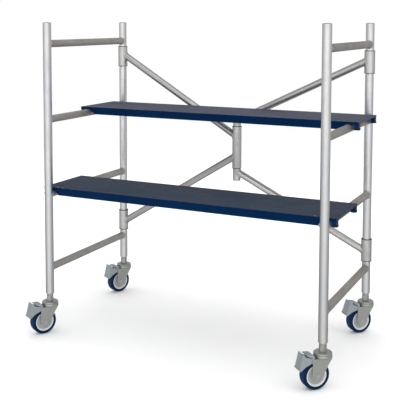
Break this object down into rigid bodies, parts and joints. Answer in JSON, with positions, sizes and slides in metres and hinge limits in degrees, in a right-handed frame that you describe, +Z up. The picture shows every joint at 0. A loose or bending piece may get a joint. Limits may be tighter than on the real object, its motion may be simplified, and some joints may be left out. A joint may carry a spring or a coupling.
{
  "type": "baker scaffold",
  "caption": "Folding rolling tube scaffold: end frames joined at the back by a hinged brace, hook-on work decks, braked swivel casters.",
  "frame": {"origin": "on the floor, under the middle of the whole footprint with the casters parked", "axes": "+Z up, +X along the decks towards the right end frame, +Y from the open front towards the braced back"},
  "size_m": [1.8963, 1.0668, 1.899],
  "materials": {
    "upright_tube": "satin drawn tube",
    "rung_tube": "ribbed satin",
    "brace_tube": "satin drawn tube",
    "sleeve_tube": "satin drawn tube",
    "cap_plastic": "moulded",
    "bush_plastic": "moulded nylon",
    "steel_rivet": "zinc plated",
    "deck_panel": "film faced, fine anti-slip texture",
    "deck_rail": "satin navy powder coat",
    "hook_pad": "matt",
    "caster_zinc": "bright zinc plated",
    "bolt_steel": "zinc plated",
    "wheel_nylon": "moulded nylon",
    "tyre_rubber": "elastic rubber, matt",
    "pedal_zinc": "zinc plated pressing"
  },
  "bodies": {
    "right_frame": {"right_front_upright": "upright_tube", "right_rear_upright": "upright_tube", "right_rungs": "rung_tube", "right_top_caps": "cap_plastic", "right_stop_rivets": "steel_rivet", "front_right_stem": "caster_zinc", "rear_right_stem": "caster_zinc"},
    "right_gate": {"right_post_sleeves": "sleeve_tube", "right_sleeve_bushes": "bush_plastic", "right_upper_brace": "brace_tube", "right_lower_brace": "brace_tube", "centre_tube": "sleeve_tube", "centre_tube_plugs": "cap_plastic", "centre_tube_rivet": "steel_rivet"},
    "left_gate": {"left_post_sleeves": "sleeve_tube", "left_sleeve_bushes": "bush_plastic", "left_upper_brace": "brace_tube", "left_lower_brace": "brace_tube", "centre_sleeve": "sleeve_tube", "centre_sleeve_bushes": "bush_plastic"},
    "left_frame": {"left_front_upright": "upright_tube", "left_rear_upright": "upright_tube", "left_rungs": "rung_tube", "left_top_caps": "cap_plastic", "left_stop_rivets": "steel_rivet", "front_left_stem": "caster_zinc", "rear_left_stem": "caster_zinc"},
    "upper_deck": {"upper_deck_panel": "deck_panel", "upper_deck_side_rails": "deck_rail", "upper_deck_cross_members": "deck_rail", "upper_deck_hooks": "deck_rail", "upper_deck_hook_pads": "hook_pad", "upper_deck_rivets": "steel_rivet"},
    "lower_deck": {"lower_deck_panel": "deck_panel", "lower_deck_side_rails": "deck_rail", "lower_deck_cross_members": "deck_rail", "lower_deck_hooks": "deck_rail", "lower_deck_hook_pads": "hook_pad", "lower_deck_rivets": "steel_rivet"},
    "front_left_fork": {"front_left_fork": "caster_zinc", "front_left_bolts": "bolt_steel"},
    "front_left_wheel": {"front_left_wheel_core": "wheel_nylon", "front_left_tyre": "tyre_rubber"},
    "front_left_pedal": {"front_left_brake_pedal": "pedal_zinc"},
    "front_right_fork": {"front_right_fork": "caster_zinc", "front_right_bolts": "bolt_steel"},
    "front_right_wheel": {"front_right_wheel_core": "wheel_nylon", "front_right_tyre": "tyre_rubber"},
    "front_right_pedal": {"front_right_brake_pedal": "pedal_zinc"},
    "rear_right_fork": {"rear_right_fork": "caster_zinc", "rear_right_bolts": "bolt_steel"},
    "rear_right_wheel": {"rear_right_wheel_core": "wheel_nylon", "rear_right_tyre": "tyre_rubber"},
    "rear_right_pedal": {"rear_right_brake_pedal": "pedal_zinc"},
    "rear_left_fork": {"rear_left_fork": "caster_zinc", "rear_left_bolts": "bolt_steel"},
    "rear_left_wheel": {"rear_left_wheel_core": "wheel_nylon", "rear_left_tyre": "tyre_rubber"},
    "rear_left_pedal": {"rear_left_brake_pedal": "pedal_zinc"}
  },
  "joints": [
    {"name": "fold", "type": "hinge", "parent": "right_frame", "child": "right_gate", "pos_m": [0.891, 0.4835, 0.86], "axis": [0, 0, -1], "range_deg": [0, 79]},
    {"name": "centre_hinge", "type": "hinge", "parent": "right_gate", "child": "left_gate", "pos_m": [0.021, 0.4835, 0.86], "axis": [0, 0, -1], "range_deg": [-158.2, 0.2]},
    {"name": "left_post_hinge", "type": "hinge", "parent": "left_gate", "child": "left_frame", "pos_m": [-0.849, 0.4835, 0.86], "axis": [0, 0, -1], "range_deg": [-0.2, 79.2]},
    {"name": "upper_deck_lift", "type": "slide", "parent": "right_frame", "child": "upper_deck", "axis": [0, 0, 1], "range_m": [-0.0005, 0.331]},
    {"name": "lower_deck_lift", "type": "slide", "parent": "right_frame", "child": "lower_deck", "axis": [0, 0, 1], "range_m": [-0.0005, 0.331]},
    {"name": "front_left_swivel", "type": "hinge", "parent": "left_frame", "child": "front_left_fork", "pos_m": [-0.849, -0.3865, 0.175], "axis": [0, 0, 1], "continuous": true},
    {"name": "front_left_wheel_spin", "type": "hinge", "parent": "front_left_fork", "child": "front_left_wheel", "pos_m": [-0.87227, -0.42848, 0.076], "axis": [0.8746, -0.4848, 0], "continuous": true},
    {"name": "front_left_brake", "type": "hinge", "parent": "front_left_fork", "child": "front_left_pedal", "pos_m": [-0.881, -0.44422, 0.158], "axis": [0.8746, -0.4848, 0], "range_deg": [-9, 9]},
    {"name": "front_right_swivel", "type": "hinge", "parent": "right_frame", "child": "front_right_fork", "pos_m": [0.891, -0.3865, 0.175], "axis": [0, 0, 1], "continuous": true},
    {"name": "front_right_wheel_spin", "type": "hinge", "parent": "front_right_fork", "child": "front_right_wheel", "pos_m": [0.85766, -0.42103, 0.076], "axis": [0.7193, -0.6947, 0], "continuous": true},
    {"name": "front_right_brake", "type": "hinge", "parent": "front_right_fork", "child": "front_right_pedal", "pos_m": [0.84515, -0.43398, 0.158], "axis": [0.7193, -0.6947, 0], "range_deg": [-9, 9]},
    {"name": "rear_right_swivel", "type": "hinge", "parent": "right_frame", "child": "rear_right_fork", "pos_m": [0.891, 0.4835, 0.175], "axis": [0, 0, 1], "continuous": true},
    {"name": "rear_right_wheel_spin", "type": "hinge", "parent": "rear_right_fork", "child": "rear_right_wheel", "pos_m": [0.85888, 0.44783, 0.076], "axis": [0.7431, -0.6691, 0], "continuous": true},
    {"name": "rear_right_brake", "type": "hinge", "parent": "rear_right_fork", "child": "rear_right_pedal", "pos_m": [0.84684, 0.43445, 0.158], "axis": [0.7431, -0.6691, 0], "range_deg": [-3, 15]},
    {"name": "rear_left_swivel", "type": "hinge", "parent": "left_frame", "child": "rear_left_fork", "pos_m": [-0.849, 0.4835, 0.175], "axis": [0, 0, 1], "continuous": true},
    {"name": "rear_left_wheel_spin", "type": "hinge", "parent": "rear_left_fork", "child": "rear_left_wheel", "pos_m": [-0.86929, 0.44, 0.076], "axis": [0.9063, -0.4226, 0], "continuous": true},
    {"name": "rear_left_brake", "type": "hinge", "parent": "rear_left_fork", "child": "rear_left_pedal", "pos_m": [-0.87689, 0.42368, 0.158], "axis": [0.9063, -0.4226, 0], "range_deg": [-9, 9]}
  ],
  "couplings": [
    {"joint": "centre_hinge", "follows": "fold", "ratio": -2},
    {"joint": "left_post_hinge", "follows": "fold", "ratio": 1},
    {"joint": "upper_deck_lift", "follows": "fold", "m_per_rad": 0.23934},
    {"joint": "lower_deck_lift", "follows": "fold", "m_per_rad": 0.23934}
  ]
}
